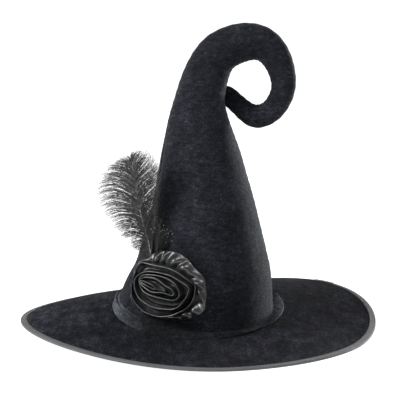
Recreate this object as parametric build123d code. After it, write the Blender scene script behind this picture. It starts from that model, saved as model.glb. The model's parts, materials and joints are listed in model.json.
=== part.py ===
from build123d import *

# Witch hat: a wide warped brim, a tall crown that curls over at the top, a satin ribbon
# rosette and an ostrich plume that sways on its quill.
#
# Frame: the origin is the centre of the rim on the surface that the hat rests on. +Z is up,
# -Y is the front, where the rosette is, and +X is the side that the crown curls over to.

import os
from math import cos, degrees, hypot, pi, radians, sin

# ---- brim, millimetres and degrees -------------------------------------------------
BRIM_RADIUS = 213.4          # cut edge of the brim's layers
RIM_RADIUS = 215.0           # outside of the ribbon binding
BINDING_WIDTH = 7.5          # ribbon seen on each face
BINDING_THICKNESS = 0.45
BINDING_INSIDE = 1.5         # half of the space that it leaves for the brim's layers
BINDING_ROUND = 1.0          # it turns in over this much at the rim
BINDING_BACK = RIM_RADIUS - BRIM_RADIUS - BINDING_WIDTH   # its inner edge, from the cut edge
LAP_AZIMUTH = 35             # where its end is lapped over its start
LAP_SPAN = 9                 # degrees
LAP_MARGINS = (0.4, 0.2)     # the lap is this much narrower, at its inner and outer edge
LAP_GAP = 0.12
RIM_REST = 2.0               # middle of the brim's edge above the surface, where it rests
RIM_LIFTS = ((36, 70, 22.4), (208, 75, 12.8))   # azimuth, half-width, height of each lift
BRIM_LAYERS = {              # node: underside above the brim's middle surface, thickness
    "brim_top_cover": (0.75, 0.7),
    "brim_stiffener": (-0.70, 1.4),
    "brim_underside_cover": (-1.45, 0.7),
}
BRIM_WIRE_RADIUS = 0.45
BRIM_WIRE_OUT = 0.62         # the wire's middle, outside the brim's cut edge
BRIM_DISH = 1.15             # 1 is a straight cone, more is flatter towards the rim
RING_POINTS = 24

# ---- head opening and the flange round the crown --------------------------------------
OPENING = (88.5, 98.5)       # half-axes of the hole in the brim
FLANGE = (103.5, 112.0)      # half-axes of the flange's outer edge
FLANGE_HEIGHT = 26.5         # flange's lip above the surface, at the sides
FLANGE_SLOPE = 0.115         # the head opening is lower in front than behind
FLANGE_THICKNESS = 1.6
FLANGE_LIP = 0.6             # half the thickness of its rolled edge
OPENING_DROP = 6.0           # the brim's middle at the hole, below the flange's lip
FLANGE_SEAT = 4.0            # the brim's middle under the flange's edge, below its lip
SWEATBAND = (85.0, 93.5)     # outer half-axes
SWEATBAND_HEIGHT = 20.0
SWEATBAND_THICKNESS = 0.8
SWEATBAND_SHIFT = -0.5       # towards the left, as the crown's foot is
SWEATBAND_DROP = 5.0         # its lower edge, below the flange's lip

# ---- crown: x, z, lean of its axis from upright, half-width, half-depth -----------------
STATIONS = (
    (-3.5, 28, 3, 93.6, 102), (-1, 43, 2, 90.5, 98.5), (2.2, 57, 3, 86.8, 95),
    (5, 73, 2, 81.8, 90), (6, 93, 1, 76.2, 83.5), (6.5, 121.5, 0, 69, 75),
    (6.2, 151.5, -2, 61.3, 65.5), (5, 176.5, -3, 55.5, 58.5), (3.2, 204.5, -4, 49.2, 50.5),
    (1.3, 236.5, -2, 40.3, 40), (0.8, 257.5, 2, 34.6, 33.5), (2.4, 278.5, 8, 29.6, 28.5),
    (8, 301.5, 18, 27, 25), (20, 326.5, 40, 24.7, 22), (37, 339.5, 64, 23.6, 21),
    (58, 345, 88, 22.2, 19.5), (79, 341, 117, 19.6, 17.5), (93.5, 324.5, 150, 17.2, 15.5),
    (100.5, 304.5, 170, 15.2, 14), (100.5, 286.5, 189, 14, 13), (92.5, 269.5, 218, 13.5, 12.5),
    (81, 259, 245, 13.4, 12.3), (68.5, 256, 275, 13.6, 12.2), (58, 260.5, 302, 12.3, 11.4),
    (49, 268, 314, 11.4, 10.8), (40.5, 275.3, 312, 11.2, 10.2), (36, 279.3, 312, 10.8, 9.4),
    (32, 283, 300, 8.5, 8), (28.5, 285, 290, 6, 5.6),
)
PITCHED = 4                  # stations over which the sections come level from the slope
TIP_BACK = 22.0              # the curl's tip lies this far behind the middle plane
TIP_FROM = 20                # station where the tip starts to go back
SEAM_FORWARD = 28            # the outer seam wanders this far to the front low down
SEAM_LEVEL = 11              # station above which the seam is on the outer edge
SEAM_GAP = 0.06              # degrees between a panel's edge and the seam
HALF_STEPS = 8               # points across each half of a section
CROWN_LAYERS = {"panel": (0.0, 1.1), "interfacing": (1.2, 1.3)}   # inset, thickness
LINING_INSET = 2.7
LINING_THICKNESS = 0.5
LINING_STATIONS = 9
FILLING_INSET = 4.6
FILLING_FROM = 9
CURL_WIRE_INSET = 3.7
CURL_WIRE_RADIUS = 0.8
THREAD_RADIUS = 0.3
TIP_STITCHES = (             # each from the crown's wall to the curl's tip
    ((29.7, 14.3, 269.9), (30.6, 14.8, 270.2)),
    ((28.6, 15.0, 272.5), (29.4, 15.4, 272.6)),
    ((28.3, 14.7, 274.3), (29.3, 15.3, 274.3)),
)

# ---- rosette and plume ------------------------------------------------------------------
ROSETTE_AT = Vector(-28, -85, 67)
ROSETTE_YAW = 27             # turned from the front towards -X
ROSETTE_PITCH = 17           # leant back with the crown's wall
BACKING_OVALS = ((0, 0, 30, 30, 2.6), (0, 0, 30, 30, 4.1))
RUFFLE_OVALS = (             # centre right and up, half-width, half-height, out of the crown
    (-2.5, 0.5, 44, 35, 4.4), (-2.5, 0.5, 49, 39, 8), (-3.5, -1, 46, 35, 12),
    (-5.5, -4, 41, 27, 15.5),
)
TURNS_OVALS = (
    (-7, -6.5, 33, 18, 4.4), (-7, -6.5, 36, 21, 14), (-7, -6.5, 33, 18.5, 22),
)
BUD_OVALS = (
    (-10, -2.5, 20, 6, 4.4), (-10, -2.5, 22, 8.5, 16), (-10, -2.5, 20, 6, 25),
    (-10, -2.5, 15, 3, 27),
)
FOLD_GAP = 1.1               # between the ruffle, the turns and the bud
TACK_AT = 8                  # the rosette's tacks, from its middle
TACK_HEIGHTS = (0.4, 2.55)
QUILL = (                    # x, y, z, radius along the quill from its foot
    (-49, -69, 78, 0.9), (-52.6, -67.0, 84.6, 1.0), (-55, -62, 98, 1.0),
    (-58, -56, 115, 1.0), (-65.5, -52.2, 142, 0.9), (-71, -49.5, 165, 0.8),
    (-74.5, -47.7, 190, 0.6), (-78, -45.9, 210, 0.3),
)
QUILL_WRAP = (1.3, 1.9, 5.0)         # inner and outer radius and length of the thread wrap
TACK_LOOP = (2.3, 0.35)              # ring radius and thread radius
PLUME_AT = Vector(-66, -52, 0)
PLUME_THICKNESS = 5.0
QUILL_GAP = 2.2              # from the quill's middle line to each vane
VANE_START = 3               # the vanes' foot, above the quill's fourth point
TUFT = ((-54, 112), (-44, 112), (-33, 118), (-31, 128), (-38, 138), (-47, 133), (-55, 120))
TUFT_THICKNESS = 4.0
TUFT_FORWARD = 4.0           # in front of the vanes' middle plane
LEFT_VANE = ((-79, 122), (-97, 139), (-108, 158), (-109, 182), (-100, 201), (-86, 213))
RIGHT_VANE = ((-49, 124), (-44, 142), (-43, 165), (-43, 188), (-47, 204), (-60, 215))


def lift(azimuth):
    """Height of the rim above its rest height, at an azimuth in radians."""
    total = 0.0
    for middle, half, height in RIM_LIFTS:
        away = (degrees(azimuth) - middle + 180) % 360 - 180
        if abs(away) < half:
            total += height * cos(radians(90 * away / half)) ** 2
    return total


def ellipse_point(axes, azimuth, shift=0.0):
    return axes[0] * cos(azimuth) + shift, axes[1] * sin(azimuth)


def brim_point(azimuth, across):
    """Point of the brim's middle surface: across is 0 at the flange's edge, 1 at the rim."""
    x0, y0 = ellipse_point(FLANGE, azimuth)
    x1, y1 = BRIM_RADIUS * cos(azimuth), BRIM_RADIUS * sin(azimuth)
    inner = FLANGE_HEIGHT - FLANGE_SEAT + FLANGE_SLOPE * y0
    outer = RIM_REST + lift(azimuth)
    x, y = x0 + (x1 - x0) * across, y0 + (y1 - y0) * across
    return Vector(x, y, outer + (inner - outer) * (1 - across) ** BRIM_DISH)


def edge_point(azimuth, outward):
    """Point of the middle surface, measured outward from the brim's cut edge."""
    if outward <= 0:
        reach = brim_point(azimuth, 1) - brim_point(azimuth, 0)
        return brim_point(azimuth, 1 + outward / hypot(reach.X, reach.Y))
    end = brim_point(azimuth, 1)
    return end + Vector(cos(azimuth), sin(azimuth), 0) * outward


def opening_point(azimuth):
    x, y = ellipse_point(OPENING, azimuth)
    return Vector(x, y, FLANGE_HEIGHT - OPENING_DROP + FLANGE_SLOPE * y)


def ring(point_at):
    """Closed spline wire through point_at(azimuth)."""
    points = [point_at(2 * pi * i / RING_POINTS) for i in range(RING_POINTS)]
    return Wire([Edge.make_spline(points, periodic=True)])


def ring_solid(rings):
    """Solid whose section goes through the rings in turn and back to the first one."""
    faces = []
    for start, end in zip(rings, rings[1:] + rings[:1]):
        faces += Shell.make_loft([start, end], ruled=True).faces()
    solid = Solid(Shell(Face.sew_faces(faces)[0]))
    return solid if solid.volume > 0 else Solid(solid.wrapped.Reversed())


def along(point_at, height=0.0, outward=0.0):
    """The same ring, raised, and moved outward in plan."""
    def moved(azimuth):
        p = point_at(azimuth)
        reach = hypot(p.X, p.Y)
        grow = (reach + outward) / reach
        return Vector(p.X * grow, p.Y * grow, p.Z + height)
    return ring(moved)


def brim_layer(bottom, thickness):
    lines = [opening_point] + [
        lambda azimuth, s=s: brim_point(azimuth, s) for s in (0, 0.12, 0.3, 0.5, 0.75)
    ] + [lambda azimuth: edge_point(azimuth, BINDING_BACK), lambda azimuth: edge_point(azimuth, 0)]
    top = [along(line, bottom + thickness) for line in lines]
    under = [along(line, bottom) for line in reversed(lines)]
    return ring_solid(top + under)


def edge_ring(outward, height):
    return ring(lambda azimuth: edge_point(azimuth, outward) + Vector(0, 0, height))


def brim_binding():
    """Ribbon folded over the edge: a U-shaped section, open towards the crown."""
    inside, skin = BINDING_INSIDE, BINDING_INSIDE + BINDING_THICKNESS
    nose, back = RIM_RADIUS - BRIM_RADIUS, BINDING_BACK
    hollow = nose - BINDING_THICKNESS
    upper = [(back, skin), (0, skin), (nose - BINDING_ROUND, skin), (nose, 0.5 * skin)]
    under = [(hollow, 0.5 * inside), (nose - 1.2 * BINDING_ROUND, inside), (0, inside),
             (back, inside)]
    outer = upper + [(outward, -height) for outward, height in reversed(upper)]
    inner = [(outward, -height) for outward, height in reversed(under)] + under
    return ring_solid([edge_ring(outward, height) for outward, height in outer + inner])


def brim_wire():
    """Round wire that follows the brim's cut edge, inside the binding."""
    corners = [2 * pi * i / 8 for i in range(8)]
    return ring_solid([
        edge_ring(BRIM_WIRE_OUT + BRIM_WIRE_RADIUS * cos(c), BRIM_WIRE_RADIUS * sin(c))
        for c in corners
    ])


def binding_lap():
    """Short end of ribbon lapped over the binding at the back, on the hat's right."""
    low = Vector(0, 0, BINDING_INSIDE + BINDING_THICKNESS + LAP_GAP)
    high = low + Vector(0, 0, BINDING_THICKNESS)
    sections = []
    for i in range(4):
        azimuth = radians(LAP_AZIMUTH + LAP_SPAN * i / 3)
        inner = edge_point(azimuth, BINDING_BACK + LAP_MARGINS[0])
        outer = edge_point(azimuth, -LAP_MARGINS[1])
        corners = [outer + low, outer + high, inner + high, inner + low]
        sections.append(Wire.make_polygon(corners, close=True))
    return Solid.make_loft(sections, ruled=True)


def crown_frame(index):
    """Centre, in-plane right, and depth direction of one crown section."""
    x, z, lean, half_width, half_depth = STATIONS[index]
    back = 0.0
    if index > TIP_FROM:
        share = (index - TIP_FROM) / (len(STATIONS) - 1 - TIP_FROM)
        back = TIP_BACK * min(1.0, 1.25 * share)
    right = Vector(cos(radians(lean)), 0, -sin(radians(lean)))
    pitch = FLANGE_SLOPE * max(0.0, 1 - index / PITCHED)
    depth = Vector(0, 1, pitch).normalized()
    return Vector(x, back, z), right, depth, half_width, half_depth


def crown_point(index, angle, inset=0.0):
    """Point of one section: 0 is its right, 90 the back, 180 its left, 270 the front."""
    centre, right, depth, half_width, half_depth = crown_frame(index)
    across = (half_width - inset) * cos(radians(angle))
    deep = (half_depth - inset) * sin(radians(angle))
    return centre + right * across + depth * deep


def seam_angle(index):
    """Where the outer seam is on a section: 180 is the outer edge, more is to the front."""
    return 180 + SEAM_FORWARD * min(1.0, max(0, SEAM_LEVEL - index) / 5)


def crown_half(start, end, inset, thickness, last):
    """Part of the crown's wall between two seams, lofted up the stations."""
    sections = []
    for index in range(last):
        first, final = start(index), end(index)
        angles = [first + (final - first) * i / HALF_STEPS for i in range(HALF_STEPS + 1)]
        outer = [crown_point(index, a, inset) for a in angles]
        inner = [crown_point(index, a, inset + thickness) for a in reversed(angles)]
        sections.append(Wire([
            Edge.make_spline(outer), Edge.make_line(outer[-1], inner[0]),
            Edge.make_spline(inner), Edge.make_line(inner[-1], outer[0]),
        ]))
    return Solid.make_loft(sections, ruled=True)


def crown_panels(nodes):
    for layer, (inset, thickness) in CROWN_LAYERS.items():
        last = len(STATIONS) if layer == "panel" else len(STATIONS) - 2
        nodes[f"crown_front_{layer}"] = crown_half(
            lambda i: seam_angle(i) + SEAM_GAP, lambda i: 360 - SEAM_GAP, inset, thickness, last)
        nodes[f"crown_back_{layer}"] = crown_half(
            lambda i: SEAM_GAP, lambda i: seam_angle(i) - SEAM_GAP, inset, thickness, last)


def crown_tube(first, last, inset, shift=0.0):
    """Solid that fills the crown between two stations, inset from its outside."""
    sections = []
    for index in range(first, last):
        _, right, _, _, _ = crown_frame(index)
        angles = [180 * i / HALF_STEPS for i in range(2 * HALF_STEPS)]
        points = [crown_point(index, angle, inset) + right * shift for angle in angles]
        sections.append(Wire([Edge.make_spline(points, periodic=True)]))
    return Solid.make_loft(sections, ruled=True)


def crown_lining():
    outer = crown_tube(0, LINING_STATIONS, LINING_INSET)
    inner = crown_tube(0, LINING_STATIONS, LINING_INSET + LINING_THICKNESS)
    return outer - inner.moved(Location((0, 0, -LINING_THICKNESS)))


def curl_wire():
    """Wire sewn along the inside of the outer edge, from the shoulder to the tip."""
    sections = []
    for index in range(FILLING_FROM, len(STATIONS) - 4):
        centre, right, depth, half_width, _ = crown_frame(index)
        at = centre - right * (half_width - CURL_WIRE_INSET)
        plane = Plane(origin=at, x_dir=right, z_dir=right.cross(depth))
        sections.append(Wire([Edge.make_circle(CURL_WIRE_RADIUS, plane)]))
    return Solid.make_loft(sections, ruled=True)


def sloped(axes, height, shift=0.0):
    """Ring function of an ellipse on the head opening's sloping plane."""
    def point(azimuth):
        x, y = ellipse_point(axes, azimuth, shift)
        return Vector(x, y, height + FLANGE_SLOPE * y)
    return point


def crown_flange():
    """Velvet turned out from the crown's foot and sewn to the brim: a shallow dished ring."""
    lip = sloped(FLANGE, FLANGE_HEIGHT - FLANGE_LIP)

    def foot(azimuth):
        return crown_point(0, degrees(azimuth), -0.4)

    def valley(azimuth):
        a, b = foot(azimuth), lip(azimuth)
        middle = a + (b - a) * 0.4
        floor = FLANGE_HEIGHT - 2.2 + FLANGE_SLOPE * middle.Y
        return Vector(middle.X, middle.Y, max(middle.Z - 1.2, floor))

    top = [along(foot, FLANGE_THICKNESS), along(valley, FLANGE_THICKNESS),
           along(lip, FLANGE_LIP), along(lip, 0.0, FLANGE_LIP)]
    under = [along(lip, -FLANGE_LIP), along(valley), along(foot, 0.2)]
    return ring_solid(top + under)


def sweatband():
    base = FLANGE_HEIGHT - SWEATBAND_DROP
    inner = tuple(half - SWEATBAND_THICKNESS for half in SWEATBAND)
    wires = [ring(sloped(axes, base, SWEATBAND_SHIFT)) for axes in (SWEATBAND, inner)]
    tubes = [Solid.extrude(Face(wire), Vector(0, 0, SWEATBAND_HEIGHT)) for wire in wires]
    return tubes[0] - tubes[1]


def thread(start, end):
    """Straight thread between two points."""
    run = end - start
    return Solid.make_cylinder(THREAD_RADIUS, run.length, Plane(origin=start, z_dir=run))


def tip_tack():
    """Three stitches from the crown's inner side to the curl's tip."""
    return Compound(children=[thread(Vector(*a), Vector(*b)) for a, b in TIP_STITCHES])


def rosette_axes():
    yaw, pitch = radians(ROSETTE_YAW), radians(ROSETTE_PITCH)
    out = Vector(-sin(yaw) * cos(pitch), -cos(yaw) * cos(pitch), sin(pitch))
    right = Vector(cos(yaw), -sin(yaw), 0)
    return right, right.cross(out) * -1, out


def on_rosette(right_by, up_by, out_by):
    right, up, out = rosette_axes()
    return ROSETTE_AT + right * right_by + up * up_by + out * out_by


def oval_solid(ovals, grow=0.0):
    """Loft through ovals that stand one above another on the rosette's plane."""
    right, _, out = rosette_axes()
    wires = []
    for right_by, up_by, half_width, half_height, height in ovals:
        plane = Plane(origin=on_rosette(right_by, up_by, height), x_dir=right, z_dir=out)
        wires.append(Wire([Edge.make_ellipse(half_width + grow, half_height + grow, plane)]))
    return Solid.make_loft(wires, ruled=True)


def hollow_for(ovals):
    """Straight hole that the next piece in stands in, from its widest oval."""
    widest = max(ovals, key=lambda oval: oval[2])[:4]
    return oval_solid([(*widest, -5), (*widest, 40)], FOLD_GAP)


def rosette(nodes):
    nodes["rosette_backing"] = oval_solid(BACKING_OVALS)
    nodes["rosette_outer_ruffle"] = oval_solid(RUFFLE_OVALS) - hollow_for(TURNS_OVALS)
    nodes["rosette_middle_turns"] = oval_solid(TURNS_OVALS) - hollow_for(BUD_OVALS)
    nodes["rosette_bud"] = oval_solid(BUD_OVALS)
    threads = []
    for turn in range(4):
        angle = radians(45 + 90 * turn)
        ends = [on_rosette(TACK_AT * cos(angle), TACK_AT * sin(angle), height)
                for height in TACK_HEIGHTS]
        threads.append(thread(*ends))
    nodes["rosette_tack_threads"] = Compound(children=threads)


def quill():
    sections = []
    for index, (x, y, z, radius) in enumerate(QUILL):
        before = Vector(*QUILL[max(0, index - 1)][:3])
        after = Vector(*QUILL[min(len(QUILL) - 1, index + 1)][:3])
        plane = Plane(origin=Vector(x, y, z), z_dir=after - before, x_dir=Vector(1, 0, 0).cross(
            after - before))
        sections.append(Wire([Edge.make_circle(radius, plane)]))
    return Solid.make_loft(sections)


def blade(edges, thickness, forward):
    """Plain plate in the plume's plane, from a function that makes its edges."""
    right, _, _ = rosette_axes()
    out = Vector(right.Y, -right.X, 0)

    def place(x, z):
        return PLUME_AT + right * ((x - PLUME_AT.X) / right.X) + Vector(0, 0, z)

    face = Face(Wire(edges(place))).moved(Location(out * forward))
    return Solid.extrude(face, out * thickness)


def vane(outline, side):
    """Blade beside the quill: outline is x, z points of its free edge, from the foot up."""
    shaft = [(x + side * QUILL_GAP, z) for x, _, z, _ in QUILL[3:]]
    shaft[0] = (shaft[0][0], shaft[0][1] + VANE_START)

    def edges(place):
        free = [place(x, z) for x, z in outline]
        stem = [place(x, z) for x, z in shaft]
        return [Edge.make_spline(stem), Edge.make_line(stem[-1], free[-1]),
                Edge.make_spline(free[::-1]), Edge.make_line(free[0], stem[0])]

    return blade(edges, PLUME_THICKNESS, -PLUME_THICKNESS / 2)


def tuft():
    def edges(place):
        return [Edge.make_spline([place(x, z) for x, z in TUFT], periodic=True)]

    return blade(edges, TUFT_THICKNESS, TUFT_FORWARD)


def plume(nodes):
    nodes["feather_quill"] = quill()
    nodes["feather_left_vane"] = vane(LEFT_VANE, -1)
    nodes["feather_right_vane"] = vane(RIGHT_VANE, 1)
    points = [Vector(*row[:3]) for row in QUILL[:4]]
    wrap = Plane(origin=points[2], z_dir=points[3] - points[1])
    bore, outside, length = QUILL_WRAP
    sleeve = Solid.make_cylinder(outside, length, wrap)
    nodes["quill_binding"] = sleeve - Solid.make_cylinder(bore, length, wrap)
    loop = Plane(origin=points[1], z_dir=points[2] - points[0])
    nodes["feather_tack_thread"] = Solid.make_torus(*TACK_LOOP, loop)
    nodes["feather_tuft"] = tuft()


def build():
    nodes = {}
    for node, (bottom, thickness) in BRIM_LAYERS.items():
        nodes[node] = brim_layer(bottom, thickness)
    nodes["brim_binding"] = brim_binding()
    nodes["brim_wire"] = brim_wire()
    nodes["brim_binding_lap"] = binding_lap()
    nodes["crown_flange"] = crown_flange()
    nodes["sweatband"] = sweatband()
    crown_panels(nodes)
    nodes["crown_lining"] = crown_lining()
    nodes["curl_filling"] = crown_tube(
        FILLING_FROM, len(STATIONS) - 3, FILLING_INSET, 0.6)
    nodes["curl_wire"] = curl_wire()
    nodes["tip_tack_stitches"] = tip_tack()
    rosette(nodes)
    plume(nodes)
    return nodes


os.makedirs("parts", exist_ok=True)
for name, solid in build().items():
    export_step(solid, f"parts/{name}.step")
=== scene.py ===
"""Looks of the witch hat: velvet, ribbon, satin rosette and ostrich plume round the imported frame.

Lengths are in millimetres in the tables and in metres in every mesh, with +Z up and -Y the front.
"""
import json
import math

import bpy
import numpy as np
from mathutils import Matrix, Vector, noise


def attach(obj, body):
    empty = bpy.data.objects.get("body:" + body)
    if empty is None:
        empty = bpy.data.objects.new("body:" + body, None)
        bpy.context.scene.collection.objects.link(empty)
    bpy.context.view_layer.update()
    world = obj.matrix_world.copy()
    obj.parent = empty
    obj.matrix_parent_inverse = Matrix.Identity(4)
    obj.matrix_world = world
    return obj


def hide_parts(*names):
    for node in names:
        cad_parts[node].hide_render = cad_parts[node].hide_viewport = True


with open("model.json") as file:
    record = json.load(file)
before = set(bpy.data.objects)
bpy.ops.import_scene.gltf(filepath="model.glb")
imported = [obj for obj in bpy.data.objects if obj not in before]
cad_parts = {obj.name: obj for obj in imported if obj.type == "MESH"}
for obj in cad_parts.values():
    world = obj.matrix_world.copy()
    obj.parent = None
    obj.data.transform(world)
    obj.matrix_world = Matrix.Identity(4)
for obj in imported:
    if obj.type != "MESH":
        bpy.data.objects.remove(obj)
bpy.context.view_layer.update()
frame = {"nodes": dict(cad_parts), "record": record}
MM = 0.001
CYCLE = 6.28  # a full turn, in radians

# ---- the hat's own dimensions, as in the CAD ------------------------------------------------
BRIM_RADIUS, RIM_RADIUS = 213.4, 215.0
BINDING_WIDTH = 7.5
VELVET_THICK, CROWN_THICK, BINDING_THICK = 0.6, 0.7, 0.4
RIM_REST = 2.0
RIM_LIFTS = ((36, 70, 22.4), (208, 75, 12.8))
BRIM_DISH = 1.15
FLANGE = (103.5, 112.0)
OPENING = (88.5, 98.5)
FLANGE_HEIGHT, FLANGE_SLOPE = 26.5, 0.115
SEAT_DROP, OPENING_DROP = 4.0, 6.0  # brim's middle below the flange, at its edge and inside
COVER_HEIGHT = 1.55                 # covers' distance from the brim's middle surface
STATIONS = (
    (-3.5, 28, 3, 93.6, 102), (-1, 43, 2, 90.5, 98.5), (2.2, 57, 3, 86.8, 95),
    (5, 73, 2, 81.8, 90), (6, 93, 1, 76.2, 83.5), (6.5, 121.5, 0, 69, 75),
    (6.2, 151.5, -2, 61.3, 65.5), (5, 176.5, -3, 55.5, 58.5), (3.2, 204.5, -4, 49.2, 50.5),
    (1.3, 236.5, -2, 40.3, 40), (0.8, 257.5, 2, 34.6, 33.5), (2.4, 278.5, 8, 29.6, 28.5),
    (8, 301.5, 18, 27, 25), (20, 326.5, 40, 24.7, 22), (37, 339.5, 64, 23.6, 21),
    (58, 345, 88, 22.2, 19.5), (79, 341, 117, 19.6, 17.5), (93.5, 324.5, 150, 17.2, 15.5),
    (100.5, 304.5, 170, 15.2, 14), (100.5, 286.5, 189, 14, 13), (92.5, 269.5, 218, 13.5, 12.5),
    (81, 259, 245, 13.4, 12.3), (68.5, 256, 275, 13.6, 12.2), (58, 260.5, 302, 12.3, 11.4),
    (49, 268, 314, 11.4, 10.8), (40.5, 275.3, 312, 11.2, 10.2), (36, 279.3, 312, 10.8, 9.4),
    (32, 283, 300, 8.5, 8), (28.5, 285, 290, 6, 5.6),
)
PITCHED, TIP_BACK, TIP_FROM = 4, 22.0, 20
SEAM_FORWARD, SEAM_LEVEL = 28, 11
CROWN_ROWS, PANEL_COLUMNS = 440, 130
# The crown swells less near its foot, where the flange covers it.
FOOT_TOP, FOOT_FADE, FOOT_SWELL = 34, 40, 0.12
ROSETTE_AT = np.array((-28.0, -85.0, 67.0))
ROSETTE_YAW, ROSETTE_PITCH = math.radians(27), math.radians(17)
QUILL = (
    (-49, -69, 78, 0.9), (-52.6, -67.0, 84.6, 1.0), (-55, -62, 98, 1.0),
    (-58, -56, 115, 1.0), (-65.5, -52.2, 142, 0.9), (-71, -49.5, 165, 0.8),
    (-74.5, -47.7, 190, 0.6), (-78, -45.9, 210, 0.3),
)

# ---- camera: the hat seen from the front, from a little above -------------------------------
VIEW_RISE = math.radians(9.5)
VIEW_DISTANCE = 2.0
VIEW_TARGET = Vector((0.0021, 0.0, 0.1554))
LENS = 149.7


# ==== small tools ============================================================================
def smooth_table(table, count):
    """Natural cubic spline through the rows of a table, sampled evenly by the row number."""
    rows = np.array(table, float)
    n = len(rows)
    system = np.eye(n)
    right = np.zeros_like(rows)
    for i in range(1, n - 1):
        system[i, i - 1:i + 2] = 1, 4, 1
        right[i] = 6 * (rows[i + 1] - 2 * rows[i] + rows[i - 1])
    bend = np.linalg.solve(system, right)
    at = np.linspace(0, n - 1, count)
    low = np.clip(at.astype(int), 0, n - 2)
    t = (at - low)[:, None]
    a, b, ka, kb = rows[low], rows[low + 1], bend[low], bend[low + 1]
    u = 1 - t
    return a * u + b * t + ((u ** 3 - u) * ka + (t ** 3 - t) * kb) / 6


def even_path(points, count):
    """Points evenly spaced along the smooth curve through a few points."""
    fine = smooth_table(points, 40 * len(points))
    steps = np.linalg.norm(np.diff(fine[:, :3], axis=0), axis=1)
    length = np.concatenate(([0], np.cumsum(steps)))
    at = np.linspace(0, length[-1], count)
    return np.stack([np.interp(at, length, fine[:, k]) for k in range(fine.shape[1])], -1)


def mesh_object(name, points, faces):
    """Smooth-shaded object from points in millimetres."""
    mesh = bpy.data.meshes.new(name)
    mesh.from_pydata((np.asarray(points) * MM).tolist(), [], [list(f) for f in faces])
    mesh.validate()
    mesh.polygons.foreach_set("use_smooth", [True] * len(mesh.polygons))
    obj = bpy.data.objects.new(name, mesh)
    bpy.context.collection.objects.link(obj)
    return obj


def grid_faces(rows, columns, close_columns=False):
    """Four-cornered faces of a grid of points; the last column can join the first."""
    i, j = np.meshgrid(np.arange(rows - 1),
                       np.arange(columns if close_columns else columns - 1), indexing="ij")
    i, j = i.ravel(), j.ravel()
    i2, j2 = i + 1, (j + 1) % columns
    return np.stack([i * columns + j, i * columns + j2, i2 * columns + j2, i2 * columns + j], -1)


def grid_object(name, grid, close_columns=False, flip=False):
    """Surface through a grid of points; flip turns its normals to the other side."""
    rows, columns = grid.shape[:2]
    faces = grid_faces(rows, columns, close_columns)
    if flip:
        faces = faces[:, ::-1]
    return mesh_object(name, grid.reshape(-1, 3), faces)


def thicken(obj, thickness):
    """Give a sheet its thickness, on the side away from its normals."""
    bpy.context.view_layer.objects.active = obj
    solid = obj.modifiers.new("thickness", "SOLIDIFY")
    solid.thickness = thickness * MM
    solid.offset = -1
    solid.use_even_offset = False
    bpy.ops.object.modifier_apply(modifier=solid.name)


def bumps(points, size, seed=0.0):
    """Smooth noise from -1 to 1 at each point, for swells about `size` millimetres across."""
    flat = np.asarray(points).reshape(-1, 3) / size + seed
    values = [noise.noise(Vector(p)) for p in flat]
    return np.array(values).reshape(np.asarray(points).shape[:-1])


def unit(vectors):
    """The vectors at length 1."""
    return vectors / np.maximum(np.linalg.norm(vectors, axis=-1, keepdims=True), 1e-9)


# ==== materials ==============================================================================
class Nodes:
    """A material's node tree with short ways to add and join nodes."""

    def __init__(self, name):
        self.material = bpy.data.materials.new(name)
        self.material.use_nodes = True
        self.tree = self.material.node_tree
        self.shader = self.tree.nodes["Principled BSDF"]
        self.place = self.add("ShaderNodeTexCoord").outputs["Object"]

    def add(self, kind, **settings):
        node = self.tree.nodes.new(kind)
        for key, value in settings.items():
            setattr(node, key, value)
        return node

    def link(self, source, target):
        self.tree.links.new(source, target)

    def noise(self, per_metre, detail=4.0, rough=0.55, stretch=None, distortion=0.0):
        node = self.add("ShaderNodeTexNoise")
        node.inputs["Scale"].default_value = per_metre
        node.inputs["Detail"].default_value = detail
        node.inputs["Roughness"].default_value = rough
        node.inputs["Distortion"].default_value = distortion
        place = self.place
        if stretch:
            mapping = self.add("ShaderNodeMapping")
            mapping.inputs["Scale"].default_value = stretch
            self.link(self.place, mapping.inputs["Vector"])
            place = mapping.outputs["Vector"]
        self.link(place, node.inputs["Vector"])
        return node.outputs["Fac"]

    def math(self, operation, a, b=None):
        node = self.add("ShaderNodeMath", operation=operation)
        for socket, value in zip(node.inputs, (a, b)):
            if value is None:
                continue
            if isinstance(value, (int, float)):
                socket.default_value = value
            else:
                self.link(value, socket)
        return node.outputs[0]

    def ramp(self, value, stops):
        node = self.add("ShaderNodeValToRGB")
        ramp = node.color_ramp
        while len(ramp.elements) < len(stops):
            ramp.elements.new(0.5)
        for element, (at, color) in zip(ramp.elements, stops):
            element.position = at
            element.color = (*color, 1.0) if hasattr(color, "__len__") else (color,) * 3 + (1.0,)
        self.link(value, node.inputs["Fac"])
        return node.outputs["Color"]

    def bump(self, height, strength, distance):
        node = self.add("ShaderNodeBump")
        node.inputs["Strength"].default_value = strength
        node.inputs["Distance"].default_value = distance
        self.link(height, node.inputs["Height"])
        self.link(node.outputs["Normal"], self.shader.inputs["Normal"])

    def set(self, **values):
        for key, value in values.items():
            self.shader.inputs[key.replace("_", " ")].default_value = value

    def color(self, value):
        self.link(value, self.shader.inputs["Base Color"])

    def map_range(self, value, *limits):
        node = self.add("ShaderNodeMapRange")
        for key, limit in zip(("From Min", "From Max", "To Min", "To Max"), limits):
            node.inputs[key].default_value = limit
        self.link(value, node.inputs["Value"])
        return node.outputs["Result"]

    def roughness(self, value, low, high):
        self.link(self.map_range(value, 0.0, 1.0, low, high), self.shader.inputs["Roughness"])


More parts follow.
